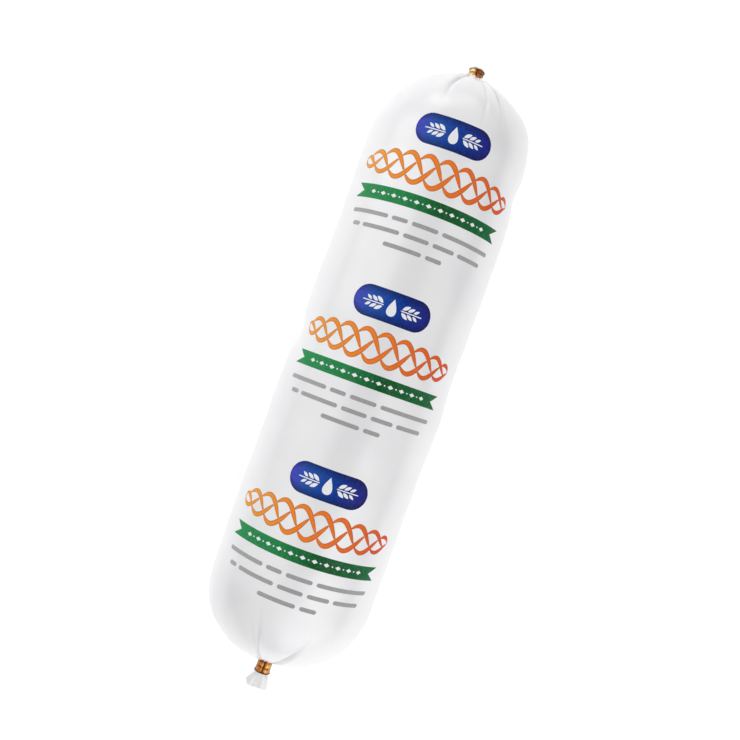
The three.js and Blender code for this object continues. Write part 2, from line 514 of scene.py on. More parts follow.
    def half_points(self, end: End, along: Array, phi: Array, lift: float) -> Array:
        """Work out points of the half of the body that belongs to an end.

        Args:
            end: The end.
            along: Nominal distances from the body's middle, of that end's sign.
            phi: Azimuths.
            lift: How far the points stand off the film.

        Returns:
            Points in the log's frame, with x, y and z in the last axis.
        """
        dome = self.dome(end)
        angle = self.dome_angle(dome, along)
        curved = dome.radius * np.sin(angle) ** (2.0 / dome.fullness)
        on_dome = np.abs(along) > self.half_length - dome.radius
        radius = np.where(on_dome, curved, self.width_at(along))
        pit = dome.pit_depth * bell(radius / self.pit_radius)
        stand = self.relief(dome, along, self.from_neck(dome, along), phi) + lift
        ring = radius + stand * np.sin(angle)
        level = along - end.value * pit + stand * end.value * np.cos(angle)
        height = np.maximum(ring * np.cos(phi * DEGREE), -self.rest_depth - lift)
        return np.stack([ring * np.sin(phi * DEGREE), level, height], axis=-1)

    def points(self, along: Array, phi: Array, lift: float = 0.0) -> Array:
        """Work out points of the film.

        Args:
            along: Nominal distances from the body's middle.
            phi: Azimuths.
            lift: How far the points stand off the film.

        Returns:
            Points in the log's frame, with x, y and z in the last axis.
        """
        along, phi = np.broadcast_arrays(along, phi)
        lower = self.half_points(End.LOWER, np.minimum(along, 0.0), phi, lift)
        upper = self.half_points(End.UPPER, np.maximum(along, 0.0), phi, lift)
        return np.where((along < 0.0)[..., None], lower, upper)


@dataclass(frozen=True)
class LogPlace:
    """Where the log lies in the row frame: its axis and the middle of its filled body."""

    axis_x: float
    axis_z: float
    middle_y: float

    @classmethod
    def from_frame(cls, surface: BodySurface) -> "LogPlace":
        """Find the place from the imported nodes.

        Args:
            surface: The body's surface, which says where the upper clip starts.

        Returns:
            The log's place.
        """
        casing_low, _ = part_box("filled_casing")
        clip_low, clip_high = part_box("clip_top")
        return cls(
            axis_x=(clip_low.x + clip_high.x) / 2.0 / MM,
            axis_z=casing_low.z / MM + surface.rest_depth,
            middle_y=clip_low.y / MM - surface.clip_start(End.UPPER),
        )

    def to_row(self, points: Array) -> Array:
        """Turn points of the log's frame into the row's metres."""
        return (points + np.array([self.axis_x, self.middle_y, self.axis_z])) * MM


# ---- Meshes ----


@dataclass
class MeshParts:
    """Vertices, faces and what each vertex carries, gathered before the mesh is made."""

    points: list[Array] = field(default_factory=list)
    faces: list[list[int]] = field(default_factory=list)
    print_uv: list[Array] = field(default_factory=list)
    values: dict[str, list[Array]] = field(default_factory=dict)
    count: int = 0

    def add_points(self, points: Array, uv: Array | None = None, **values: Array) -> Array:
        """Add a grid of vertices.

        Args:
            points: Points of the grid, with x, y and z in the last axis.
            uv: A pair for each point, where the piece's finish reads one.
            **values: Named numbers, one for each point.

        Returns:
            The grid of the new vertices' numbers.
        """
        shape = points.shape[:-1]
        numbers = self.count + np.arange(int(np.prod(shape))).reshape(shape)
        self.count += numbers.size
        self.points.append(points.reshape(-1, 3))
        if uv is not None:
            self.print_uv.append(uv.reshape(-1, 2))
        for name, value in values.items():
            self.values.setdefault(name, []).append(np.broadcast_to(value, shape).reshape(-1))
        return numbers

    def add_quads(self, a: Array, b: Array, c: Array, d: Array) -> None:
        """Add one quad for each place of four grids of vertex numbers."""
        self.faces.extend(np.stack([a, b, c, d], axis=-1).reshape(-1, 4).tolist())

    def add_sheet(self, grid: Array) -> None:
        """Add the quads of an open grid."""
        self.add_quads(grid[:-1, :-1], grid[1:, :-1], grid[1:, 1:], grid[:-1, 1:])

    def add_tube(self, grid: Array) -> None:
        """Add the quads of a grid whose last column joins its first."""
        self.add_sheet(np.concatenate([grid, grid[:, :1]], axis=1))

    def build(self, name: str, place: LogPlace, sharp_over: float = 40.0) -> bpy.types.Object:
        """Make the object.

        Args:
            name: The piece's name.
            place: Where the log lies.
            sharp_over: Edges that turn by more degrees than this are shaded sharp.

        Returns:
            The new object, linked to the scene.
        """
        mesh = bpy.data.meshes.new(name)
        mesh.from_pydata(place.to_row(np.concatenate(self.points)).tolist(), [], self.faces)
        if self.print_uv:
            corners = np.zeros(len(mesh.loops), dtype=np.int32)
            mesh.loops.foreach_get("vertex_index", corners)
            layer = mesh.uv_layers.new(name="print")
            layer.uv.foreach_set("vector", np.concatenate(self.print_uv)[corners].reshape(-1))
        for key, parts in self.values.items():
            attribute = mesh.attributes.new(key, "FLOAT", "POINT")
            attribute.data.foreach_set("value", np.concatenate(parts).astype(np.float32))
        mesh.shade_smooth()
        mesh.set_sharp_from_angle(angle=sharp_over * DEGREE)
        mesh.validate()
        piece = bpy.data.objects.new(name, mesh)
        bpy.context.scene.collection.objects.link(piece)
        return piece


def hand_over(piece: bpy.types.Object, slot: str, material: bpy.types.Material) -> None:
    """Dress a piece and let it ride on the log.

    Args:
        piece: The piece.
        slot: The record's material slot.
        material: The piece's finish.
    """
    piece.data.materials.append(material)
    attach(piece, BODY)
    LOG.info("%s: %d faces, slot %s", piece.name, len(piece.data.polygons), slot)


# ---- Finishes ----

Socket = bpy.types.NodeSocket
FILM_WHITE = srgb(243, 243, 244)
PRINTED_WHITE = srgb(240, 241, 244)
ALL_NOISE = (0.25, 0.75)
MOST_NOISE = (0.3, 0.7)


class Bench:
    """A new material's node tree, with a Principled shader and short calls to feed it."""

    def __init__(self, name: str) -> None:
        """Start the material.

        Args:
            name: The material's name.
        """
        self.material = bpy.data.materials.new(name)
        self.material.use_nodes = True
        self.tree = self.material.node_tree
        self.tree.nodes.clear()
        self.shader = self.node("BsdfPrincipled")
        self.node("OutputMaterial", Surface=self.shader.outputs["BSDF"])
        self.place = self.node("TexCoord").outputs["Object"]

    def feed(self, node: bpy.types.Node, **values: object) -> None:
        """Feed a node: link the sockets given, and set the plain numbers and colours.

        Args:
            node: The node.
            **values: What each input gets; an underscore in its name stands for a space.
        """
        for name, value in values.items():
            socket = node.inputs[name.replace("_", " ")]
            if isinstance(value, Socket):
                self.tree.links.new(value, socket)
            else:
                socket.default_value = value

    def set(self, **values: object) -> None:
        """Feed the shader."""
        self.feed(self.shader, **values)

    def node(self, kind: str, **values: object) -> bpy.types.Node:
        """Add a node and feed it.

        Args:
            kind: The node's kind, as Blender has it after ShaderNode.
            **values: What its inputs get.

        Returns:
            The node.
        """
        node = self.tree.nodes.new(f"ShaderNode{kind}")
        self.feed(node, **values)
        return node

    def stretched(self, across: float, lengthwise: float) -> Socket:
        """Give coordinates in millimetres, drawn out by these factors.

        Args:
            across: How far patterns are drawn out across the log.
            lengthwise: How far they are drawn out along it.

        Returns:
            The coordinates.
        """
        scale = (1.0 / MM / across, 1.0 / MM / lengthwise, 1.0 / MM / across)
        return self.node("Mapping", Scale=scale, Vector=self.place).outputs["Vector"]

    def noise(self, size: float, detail: float = 3.0, vector: Socket | None = None) -> Socket:
        """Make a noise of a feature size in millimetres.

        Args:
            size: Size of the noise's features.
            detail: How many finer layers it has.
            vector: Coordinates in millimetres, if not the plain ones.

        Returns:
            The noise, about 0.25 to 0.75.
        """
        vector = vector or self.stretched(1.0, 1.0)
        node = self.node("TexNoise", Scale=1.0 / size, Detail=detail, Vector=vector)
        return node.outputs["Fac"]

    def carried(self, name: str) -> Socket:
        """Read a number that the mesh's vertices carry.

        Args:
            name: The number's name.

        Returns:
            The number at each place.
        """
        node = self.node("Attribute")
        node.attribute_name = name
        return node.outputs["Fac"]

    def print_place(self) -> Socket:
        """Read how far across the print a place is.

        Returns:
            The share of the print's width, from 0 at its left edge to 1.
        """
        uv = self.node("UVMap")
        uv.uv_map = "print"
        return self.node("SeparateXYZ", Vector=uv.outputs["UV"]).outputs["X"]

    def scaled(self, value: Socket, low: float, high: float, to: tuple[float, float]) -> Socket:
        """Map a value from low..high to the range given.

        Args:
            value: The value.
            low: Its lowest reading that counts.
            high: Its highest reading that counts.
            to: What those two become.

        Returns:
            The mapped value, held inside the range.
        """
        node = self.node("MapRange", Value=value, From_Min=low, From_Max=high)
        self.feed(node, To_Min=to[0], To_Max=to[1])
        return node.outputs["Result"]

    def maths(self, operation: str, first: Socket, second: Socket) -> Socket:
        """Work out one sum on two values.

        Args:
            operation: The sum's name, as the Math node has it.
            first: The first value.
            second: The second value.

        Returns:
            The result.
        """
        node = self.node("Math")
        node.operation = operation
        for value, socket in zip((first, second), node.inputs):
            self.tree.links.new(value, socket)
        return node.outputs["Value"]

    def mixed(self, factor: Socket, first: Colour | Socket, second: Colour | Socket) -> Socket:
        """Mix two colours.

        Args:
            factor: 0 for the first, 1 for the second.
            first: A linear colour, or a socket of one.
            second: A linear colour, or a socket of one.

        Returns:
            The mixed colour.
        """
        node = self.node("Mix", Factor=factor)
        node.data_type = "RGBA"
        inputs = [socket for socket in node.inputs if socket.type == "RGBA"]
        for socket, value in zip(inputs, (first, second)):
            if isinstance(value, Socket):
                self.tree.links.new(value, socket)
            else:
                socket.default_value = (*value, 1.0)
        return next(socket for socket in node.outputs if socket.type == "RGBA")

    def ramp(self, factor: Socket, stops: Sequence[tuple[float, Colour]]) -> Socket:
        """Colour a value by stops.

        Args:
            factor: The value.
            stops: Places on the ramp, each with its linear colour.

        Returns:
            The colour.
        """
        node = self.node("ValToRGB", Fac=factor)
        elements = node.color_ramp.elements
        while len(elements) < len(stops):
            elements.new(0.5)
        for element, (position, colour) in zip(elements, stops):
            element.position = position
            element.color = (*colour, 1.0)
        return node.outputs["Color"]

    def bump(self, layers: Iterable[tuple[Socket, float]]) -> None:
        """Raise the surface by layers, one on the other.

        Args:
            layers: Each layer's pattern and its height in millimetres.
        """
        below = {}
        for pattern, height in layers:
            node = self.node("Bump", Distance=height * MM, Height=pattern, **below)
            below = {"Normal": node.outputs["Normal"]}
        self.set(**below)


@dataclass(frozen=True)
class FilmSkin:
    """The relief and gloss that the film has, with or without ink on it."""

    crinkle_size: float = 4.2
    crinkle_height: float = 0.012
    grain_size: float = 0.5
    grain_height: float = 0.0015
    draw_size: float = 1.4
    draw_length: float = 18.0
    draw_height: float = 0.005
    rubbed_size: float = 9.0
    roughness: tuple[float, float] = (0.3, 0.38)
    ior: float = 1.6
    shine: float = 1.0
    gloss: float = 0.8
    gloss_roughness: float = 0.28

    def cover(self, bench: Bench) -> None:
        """Give a material the film's relief and uneven gloss.

        Args:
            bench: The material's bench.
        """
        crinkle = bench.noise(self.crinkle_size, detail=4.0)
        grain = bench.noise(self.grain_size, detail=2.0)
        drawn_out = bench.stretched(1.0, self.draw_length)
        drawn = bench.noise(self.draw_size, detail=2.0, vector=drawn_out)
        layers = [(crinkle, self.crinkle_height), (drawn, self.draw_height)]
        bench.bump([*layers, (grain, self.grain_height)])
        rubbed = bench.noise(self.rubbed_size)
        bench.set(Roughness=bench.scaled(rubbed, *MOST_NOISE, self.roughness))
        bench.set(IOR=self.ior, Specular_IOR_Level=self.shine)
        bench.set(Coat_Weight=self.gloss, Coat_Roughness=self.gloss_roughness)


@dataclass(frozen=True)
class FilmFinish:
    """Opaque white plastic film, a little uneven in whiteness, with shade painted grey into its
    creases where it is pinched.
    """

    name: str = "white_film"
    light: Colour = FILM_WHITE
    dull: Colour = srgb(238, 238, 240)
    cloud_size: float = 26.0
    painted_crease_shade: Colour = srgb(150, 151, 156)
    painted_crease_shade_share: float = 0.6
    skin: FilmSkin = FilmSkin()

    def material(self) -> bpy.types.Material:
        """Make the material: soft clouds of two near whites, and grey lines of painted shade in
        the creases.

        Returns:
            The material.
        """
        bench = Bench(self.name)
        noise = bench.noise(self.cloud_size, detail=2.0)
        clouds = bench.scaled(noise, *ALL_NOISE, (0.0, 1.0))
        # Painted shade: the pinch attribute mixes the film towards grey in the creases.
        pinch = bench.scaled(bench.carried("pinch"), 0.0, 1.0, (0.0, self.painted_crease_shade_share))
        white = bench.mixed(clouds, self.light, self.dull)
        bench.set(Base_Color=bench.mixed(pinch, white, self.painted_crease_shade))
        self.skin.cover(bench)
        return bench.material


@dataclass(frozen=True)
class InkFinish:
    """Ink on the film, whose colour may change across the print."""

    ink: Ink
    stops: tuple[tuple[float, Colour], ...]
    rim: Colour = (0.0, 0.0, 0.0)
    rim_from: float = 0.45
    rim_share: float = 0.0
    mottle: float = 0.05
    mottle_size: float = 1.4
    mottle_range: tuple[float, float] = (0.45, 0.8)
    skin: FilmSkin = FilmSkin(roughness=(0.4, 0.5), ior=1.4, shine=0.2, gloss=0.0)

    def material(self) -> bpy.types.Material:
        """Make the material: the colour across the print, darker rims and a fine mottle.

        Returns:
            The material.
        """
        bench = Bench(self.ink.value)
        colour = bench.ramp(bench.print_place(), self.stops)
        rim = bench.scaled(bench.carried("rim"), self.rim_from, 1.0, (0.0, self.rim_share))
        mottle = bench.noise(self.mottle_size, detail=5.0)
        thin = bench.scaled(mottle, *self.mottle_range, (0.0, self.mottle))
        colour = bench.mixed(rim, colour, self.rim)
        bench.set(Base_Color=bench.mixed(thin, colour, FILM_WHITE))
        self.skin.cover(bench)
        return bench.material


@dataclass(frozen=True)
class ClipFinish:
    """Gold-amber lacquered aluminium, with painted shade dark in its folds, seam, rims and sides,
    a painted highlight pale on its lit side, and pale where it is worn.
    """

    name: str = "amber_metal"
    # Amber and bare are the metal's own colours; bare also serves as the painted highlight, and
    # the two browns are painted shade.
    amber: Colour = srgb(248, 192, 106)
    shade_brown: Colour = srgb(204, 116, 54)
    deep_shade_brown: Colour = srgb(160, 108, 54)
    painted_shade_colour: Colour = srgb(88, 44, 12)
    bare_and_highlight: Colour = srgb(255, 232, 178)
    patch_size: float = 1.6
    patch_range: tuple[float, float] = (0.38, 0.62)
    patch_tones: tuple[float, float] = (-0.12, 0.12)
    lacquer_stops: tuple[float, ...] = (0.0, 0.3, 0.7, 1.0)
    scratch_size: float = 0.14
    scratch_length: float = 9.0
    scratch_height: float = 0.02
    rubbed_range: tuple[float, float] = (0.52, 0.7)
    rubbed_share: float = 0.7
    dent_size: float = 0.9
    dent_height: float = 0.05
    roughness: tuple[float, float] = (0.24, 0.42)

    def material(self) -> bpy.types.Material:
        """Make the material: lacquer in patches with painted highlight and shade across it,
        scratches round the strip, worn edges, and painted shade in the crevices.

        Returns:
            The material.
        """
        bench = Bench(self.name)
        patches = bench.scaled(bench.noise(self.patch_size), *self.patch_range, self.patch_tones)
        # The patches are the lacquer's own uneven tone; the carried tone adds a painted highlight
        # on the lit side and painted shade on the other.
        tone = bench.maths("ADD", patches, bench.carried("tone"))
        colours = (self.bare_and_highlight, self.amber, self.shade_brown, self.deep_shade_brown)
        lit_and_shaded_lacquer = bench.ramp(tone, tuple(zip(self.lacquer_stops, colours)))
        drawn_out = bench.stretched(self.scratch_length, 1.0)
        scratches = bench.noise(self.scratch_size, detail=4.0, vector=drawn_out)
        rubbed = bench.scaled(scratches, *self.rubbed_range, (0.0, self.rubbed_share))
        rubbed = bench.maths("MULTIPLY", rubbed, bench.carried("wear"))
        metal = bench.mixed(rubbed, lit_and_shaded_lacquer, self.bare_and_highlight)
        # Painted shade: the carried mask mixes the metal towards dark brown in the seam, dents,
        # rims, sides, bore and next to the body.
        bench.set(Base_Color=bench.mixed(bench.carried("crevice"), metal, self.painted_shade_colour))
        bench.set(Metallic=1.0)
        bench.set(Roughness=bench.scaled(scratches, *MOST_NOISE, self.roughness))
        dents = bench.noise(self.dent_size, detail=2.0)
        bench.bump([(dents, self.dent_height), (scratches, self.scratch_height)])
        return bench.material


@dataclass(frozen=True)
class FloorFinish:
    """A white studio floor, lit well enough to stay close to white under the camera."""

    name: str = "studio_floor"
    light: Colour = srgb(250, 250, 250)
    dull: Colour = srgb(247, 247, 248)
    cloud_size: float = 40.0
    roughness: float = 0.8
    grain_size: float = 1.5
    grain_height: float = 0.05
    glow: float = 0.27

    def material(self) -> bpy.types.Material:
        """Make the material: white paint with a fine roller grain.

        Returns:
            The material.
        """
        bench = Bench(self.name)
        clouds = bench.noise(self.cloud_size)
        bench.set(Base_Color=bench.mixed(clouds, self.light, self.dull))
        bench.set(Roughness=self.roughness)
        bench.set(Emission_Color=(1.0, 1.0, 1.0, 1.0))
        bench.set(Emission_Strength=self.glow)
        bench.bump([(bench.noise(self.grain_size), self.grain_height)])
        return bench.material


# ---- The casing and its tails ----


@dataclass(frozen=True)
class Casing:
    """The film shut round the cheese, with the necks that the clips close on."""

    surface: BodySurface
    place: LogPlace
    around: int = 400
    middle_rings: int = 106
    dome_rings: int = 66
    neck_radius: float = 3.1
    neck_steps: tuple[tuple[float, float], ...] = ((4.3, 0.1), (3.7, 0.2), (3.25, 0.4), (3.1, 0.8))
    neck_folds: int = 33
    neck_fold_depth: float = 0.12
    neck_length: float = 7.0

    def neck_rings(self, end: End, phi: Array) -> Array:
        """Work out the neck's rings, from the body into the clip.

        Args:
            end: The end.
            phi: Azimuths of the ring's points.

        Returns:
            Rings of points in the log's frame.
        """
        steps = (*self.neck_steps, (self.neck_radius, self.neck_length))
        folds = self.neck_fold_depth * np.abs(np.cos(self.neck_folds * phi * DEGREE / 2.0))
        rings = []
        for radius, beyond in steps:
            ring = radius + folds - self.neck_fold_depth / 2.0
            level = np.full_like(phi, end.value * (self.surface.face_level(end) + beyond))
            sideways = ring * np.sin(phi * DEGREE)
            rings.append(np.stack([sideways, level, ring * np.cos(phi * DEGREE)], axis=-1))
        return np.stack(rings)

    def build(self) -> bpy.types.Object:
        """Make the casing in one closed skin.

        Returns:
            The casing, without its finish.
        """
        phi = all_round(self.around)
        lower = self.surface.dome_alongs(End.LOWER, self.dome_rings)
        upper = self.surface.dome_alongs(End.UPPER, self.dome_rings)[::-1]
        middle = np.linspace(lower[-1], upper[0], self.middle_rings)[1:-1]
        along = np.concatenate([lower, middle, upper])
        body = self.surface.points(along[:, None], phi[None, :])
        low_neck = self.neck_rings(End.LOWER, phi)[::-1]
        high_neck = self.neck_rings(End.UPPER, phi)
        # The pinch attribute carries the mask of the shade painted grey into the creases.
        pinch = np.concatenate([
            np.zeros(low_neck.shape[:2]),
            self.surface.painted_crease_shade(along[:, None], phi[None, :]),
            np.zeros(high_neck.shape[:2]),
        ])
        parts = MeshParts()
        grid = parts.add_points(np.concatenate([low_neck, body, high_neck]), pinch=pinch)
        parts.add_tube(grid[::-1])
        parts.faces.append(grid[0].tolist())
        parts.faces.append(grid[-1][::-1].tolist())
        piece = parts.build("casing_film", self.place, sharp_over=75.0)
        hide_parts("filled_casing")
        return piece


@dataclass(frozen=True)
class Leaf:
    """One layer of gathered film past a clip; share is its size next to the outermost one's."""

    share: float
    folds: int
    fold_depth: float
    start: float
    shortfall: float
    valley_in_front: bool = False


@dataclass(frozen=True)
class Tail:
    """The gathered film past a clip, cut off: layers of folded film, one inside another."""

    name: str
    end: End
    surface: BodySurface
    place: LogPlace
    length: float
    half_width: float
    half_depth: float
    sideways: float
    corner_cut: float
    leaves: tuple[Leaf, ...]
    neck_radius: float = 2.95
    hidden: float = 1.4
    rings: int = 26
    around: int = 264
    film_thickness: float = 0.11
    fold_spacing: tuple[Wave, ...] = ((9.0, 2, 0.0, 1.0), (5.0, 3, 0.0, 2.3))
    small_folds: float = 0.35
    fold_twist: float = 0.5
    fold_growth: float = 0.7
    spread: float = 0.6
    ragged: tuple[Wave, ...] = ((0.2, 5, 0.0, 1.0), (0.12, 13, 0.0, 3.0))
    corner_from: float = 0.45

    def leaf_points(self, leaf: Leaf) -> Array:
        """Work out one layer's rings, from inside the clip out to the cut.

        Args:
            leaf: The layer.

        Returns:
            Rings of points in the log's frame.
        """
        phi = all_round(self.around)[None, :]
        run = np.linspace(0.0, 1.0, self.rings)[:, None]
        out = np.clip((run * (self.length + self.hidden) - self.hidden) / self.length, 0.0, 1.0)
        turn = leaf.folds * (phi + uneven(self.fold_spacing, phi, leaf.start)) * DEGREE
        front = pi if leaf.valley_in_front else 0.0
        ripple = np.cos(turn + front + self.fold_twist * out)
        ripple = ripple + self.small_folds * np.cos(2.0 * turn + leaf.start)
        fold = leaf.fold_depth * out**self.fold_growth * ripple
        wide = leaf.share * lerp(self.neck_radius, self.half_width, out**self.spread) + fold
        deep = leaf.share * lerp(self.neck_radius, self.half_depth, out) + fold
        left = (-np.sin(phi * DEGREE) - self.corner_from) / (1.0 - self.corner_from)
        corner = 1.0 - np.sqrt(1.0 - np.clip(left, 0.0, 1.0) ** 2)
        ragged = uneven(self.ragged, phi, leaf.start)
        cut = self.corner_cut * corner + leaf.shortfall + ragged
        start = self.surface.clip_start(self.end) + CLIP_LENGTH - self.hidden
        level = start + run * (self.hidden + self.length - cut * out)
        x = wide * np.sin(phi * DEGREE) + self.sideways * out
        z = deep * np.cos(phi * DEGREE)
        return np.stack(np.broadcast_arrays(x, self.end.value * level, z), axis=-1)

    def build(self) -> bpy.types.Object:
        """Make the tail, each layer with the film's own thickness.

        Returns:
            The tail, without its finish.
        """
        parts = MeshParts()
        for leaf in self.leaves:
            grid = parts.add_points(self.leaf_points(leaf))
            parts.add_tube(grid if self.end is End.LOWER else grid[::-1])
        piece = parts.build(self.name, self.place, sharp_over=80.0)
        shell = piece.modifiers.new("film thickness", "SOLIDIFY")
        shell.thickness = self.film_thickness * MM
        shell.offset = -1.0
        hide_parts("filled_casing")
        return piece


# ---- The clips ----


@dataclass(frozen=True)
class CrimpedClip:
    """A metal strip bent round the neck, with its two ends pressed together at the front.

    Bands round the clip are in degrees from the front, and places along it in shares of its
    length, from 0 at the body.
    """

    name: str
    node: str
    end: End
    surface: BodySurface
    place: LogPlace
    # Painted light and shade of the lacquer, at the left side and at the right side.
    tones: tuple[float, float]
    fold_at: float
    length: float = CLIP_LENGTH
    bore: float = 3.4
    waist: float = 4.15
    rim: float = 0.46
    rim_sharpness: int = 5
    rim_uneven: tuple[Wave, ...] = ((0.12, 3, 0.8, 0.0),)
    lip: float = 0.24
    seam_depth: float = 0.8
    seam_width: float = 8.0
    seam_core: float = 0.45
    seam_core_width: float = 0.32
    seam_at: float = 1.5
    seam_fade: float = 0.45
    lobe_rise: float = 0.42
    lobe: Band = Band(30.0, 19.0)
    flat_depth: float = 0.16
    flat: Band = Band(76.0, 18.0)
    fold_depth: float = 0.32
    fold_width: float = 0.075
    fold_bow: float = 0.03
    fold_sides: Band = Band(34.0, 24.0)
    near_fold: Band = Band(0.27, 0.05)
    near_fold_share: float = 0.35
    # Painted shade: how dark the seam, the dents, the rims, the sides and the strip next to the
    # body are coloured, the stronger on the shaded side.
    crevice_dark: float = 0.9
    seam_shade: float = 0.72
    seam_shade_width: float = 11.0
    rim_shade_from: float = 0.72
    side_shade: float = 0.9
    side: Band = Band(86.0, 27.0)
    body_shade_reach: float = 0.32
    body_shade_sharpness: float = 1.6
    least_body_shade: float = 0.25
    rings: int = 60
    rings_per_bore_ring: int = 6
    lip_steps: int = 8
    around: int = 288

    def outer_radius(self, t: Array, phi: Array) -> Array:
        """Work out the clip's outside: flared rims, two lobes, a seam and a fold line.

        Args:
            t: Place along the clip, 0 at the body and 1 at the tail.
            phi: Azimuth.

        Returns:
            The outer radius.
        """
        edge = np.abs(2.0 * t - 1.0)
        turn = np.abs(turn_from(0.0, phi))
        flare = self.rim * edge**self.rim_sharpness * (1.0 + uneven(self.rim_uneven, phi, 0.0))
        bulge = self.lobe_rise * self.lobe.share(turn) - self.flat_depth * self.flat.share(turn)
        groove = self.seam(phi) * (1.0 - self.seam_fade * edge**3)
        return self.waist + flare + bulge * (1.0 - edge**2) - groove - self.fold(t, phi)

    def seam(self, phi: Array) -> Array:
        """Work out the groove where the strip's two ends meet.

        Args:
            phi: Azimuth.

        Returns:
            The groove's depth.
        """
        turn = turn_from(self.seam_at, phi) / self.seam_width
        core = bell(turn / self.seam_core_width)
        return self.seam_depth * lerp(bell(turn), core, self.seam_core)

    def fold(self, t: Array, phi: Array) -> Array:
        """Work out the dents that the press leaves across each lobe.

        Args:
            t: Place along the clip.
            phi: Azimuth.

        Returns:
            The dents' depth.
        """
        turn = turn_from(0.0, phi)
        level = self.fold_at + self.fold_bow * np.sin(2.0 * turn * DEGREE)
        far_fold = bell((t - level) / self.fold_width)
        pressed = far_fold + self.near_fold_share * self.near_fold.share(t)
        return self.fold_depth * self.fold_sides.share(np.abs(turn)) * pressed

    def tone(self, phi: Array) -> Array:
        """Give how far the lacquer is painted lit or shaded, which changes from the left side to
        the right.
        """
        return lerp(*self.tones, 0.5 + 0.5 * np.sin(phi * DEGREE))

    def darkness(self, t: Array, phi: Array) -> Array:
        """Work out the painted shade on the outside: in the seam, the dents, the rims, the sides
        and next to the body.

        Args:
            t: Place along the clip.
            phi: Azimuth.

        Returns:
            The darkness, from 0 to 1.
        """
        edge = np.abs(2.0 * t - 1.0)
        # Painted shade next to the body, stronger on the shaded side, and on the sides where the
        # metal would reflect the dark room.
        by_the_body = smooth(self.body_shade_sharpness * (1.0 - t / self.body_shade_reach))
        shaded_side = np.clip(lerp(self.least_body_shade, 1.0, self.tone(phi)), 0.0, 1.0)
        dark = self.seam_shade * bell(turn_from(self.seam_at, phi) / self.seam_shade_width)
        dark = dark + self.fold(t, phi) / self.fold_depth
        dark = dark + smooth((edge - self.rim_shade_from) / (1.0 - self.rim_shade_from))
        dark = dark + by_the_body * shaded_side
        dark = dark + self.side_shade * self.side.share(np.abs(turn_from(0.0, phi)))
        return self.crevice_dark * np.clip(dark, 0.0, 1.0)

    def section(self, phi: Array) -> tuple[Array, Array, Array]:
        """Work out the strip's section at every azimuth, once round it.

        Args:
            phi: Azimuths, along the second axis.

        Returns:
            Radius, distance from the inner rim, and how much painted shade each place gets.
        """
        t = np.linspace(0.0, 1.0, self.rings)[:, None]
        outside = self.outer_radius(t, phi)
        along = self.lip + t * (self.length - 2.0 * self.lip) + 0.0 * phi
        bore_along = along[:: self.rings_per_bore_ring][::-1]
        bend = np.linspace(0.0, pi, self.lip_steps)[1:-1, None]
        middles = [(outside[i] + self.bore) / 2.0 for i in (-1, 0)]
        halves = [(outside[i] - self.bore) / 2.0 for i in (-1, 0)]
        far_lip = middles[0] + halves[0] * np.cos(bend)
        near_lip = middles[1] - halves[1] * np.cos(bend)
        far_along = self.length - self.lip + self.lip * np.sin(bend) + 0.0 * phi
        near_along = self.lip - self.lip * np.sin(bend) + 0.0 * phi
        bore = np.full_like(bore_along, self.bore)
        radius = np.concatenate([outside, far_lip, bore, near_lip])
        level = np.concatenate([along, far_along, bore_along, near_along])
        # The lips and the bore get full painted shade.
        crevice = np.full_like(radius, self.crevice_dark)
        crevice[: self.rings] = self.darkness(t, phi)
        return radius, level, crevice

    def build(self) -> bpy.types.Object:
        """Make the clip as one closed ring.

        Returns:
            The clip, without its finish.
        """
        phi = all_round(self.around)[None, :]
        radius, level, crevice = self.section(phi)
        start = self.surface.clip_start(self.end)
        along = self.end.value * (start + level)
        sideways = radius * np.sin(phi * DEGREE)
        points = np.stack([sideways, along, radius * np.cos(phi * DEGREE)], axis=-1)
        wear = np.clip((radius - self.waist) / self.rim, 0.0, 1.0)
        parts = MeshParts()
        grid = parts.add_points(points, crevice=crevice, tone=self.tone(phi), wear=wear)
        closed = np.concatenate([grid, grid[:1]])
        parts.add_tube(closed[::-1] if self.end is End.UPPER else closed)
        piece = parts.build(self.name, self.place, sharp_over=60.0)
        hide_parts(self.node)
        return piece


# ---- The print ----


@dataclass(frozen=True)
class Mark:
    """A flat inked shape, as pairs of edge points, in millimetres across and along the print."""

    left: Array
    right: Array
    lanes: int

    def moved(self, across: float, along: float, turn: float = 0.0) -> "Mark":
        """Turn the mark by degrees and move it.

        Args:
            across: Distance to move it across the print.
            along: Distance to move it along the print.
            turn: Turn against the clock, before the move.

        Returns:
            The moved mark.
        """
        c, s = cos(turn * DEGREE), sin(turn * DEGREE)
        matrix = np.array([[c, s], [-s, c]])
        shift = np.array([across, along])
        return Mark(self.left @ matrix + shift, self.right @ matrix + shift, self.lanes)


def mark_from_widths(stations: Array, half_widths: Array, lanes: int) -> Mark:
    """Make a mark that lies along the print's width.

    Args:
        stations: Places across the print.
        half_widths: Half the mark's height at each.
        lanes: How many strips it is cut into.

    Returns:
        The mark.
    """
    low = np.stack([stations, -half_widths], axis=-1)
    high = np.stack([stations, half_widths], axis=-1)
    return Mark(low, high, lanes)


def pill(half_length: float, half_height: float, cell: float) -> Mark:
    """Make a bar with round ends.

    Args:
        half_length: Half its length, ends included.
        half_height: Half its height.
        cell: Rough size of the mesh's cells.

    Returns:
        The mark, centred.
    """
    bluntness, end_steps = 0.06, 9
    turns = np.linspace(bluntness, pi / 2.0, end_steps)
    flat = half_length - half_height
    steps = max(2, ceil(2.0 * flat / cell))
    left_end = -flat - half_height * np.cos(turns)
    middle = np.linspace(-flat, flat, steps + 1)[1:-1]
    stations = np.concatenate([left_end, middle, -left_end[::-1]])
    round_end = half_height * np.sin(turns)
    heights = np.concatenate([round_end, np.full(steps - 1, half_height), round_end[::-1]])
    return mark_from_widths(stations, heights, max(2, ceil(2.0 * half_height / cell)))


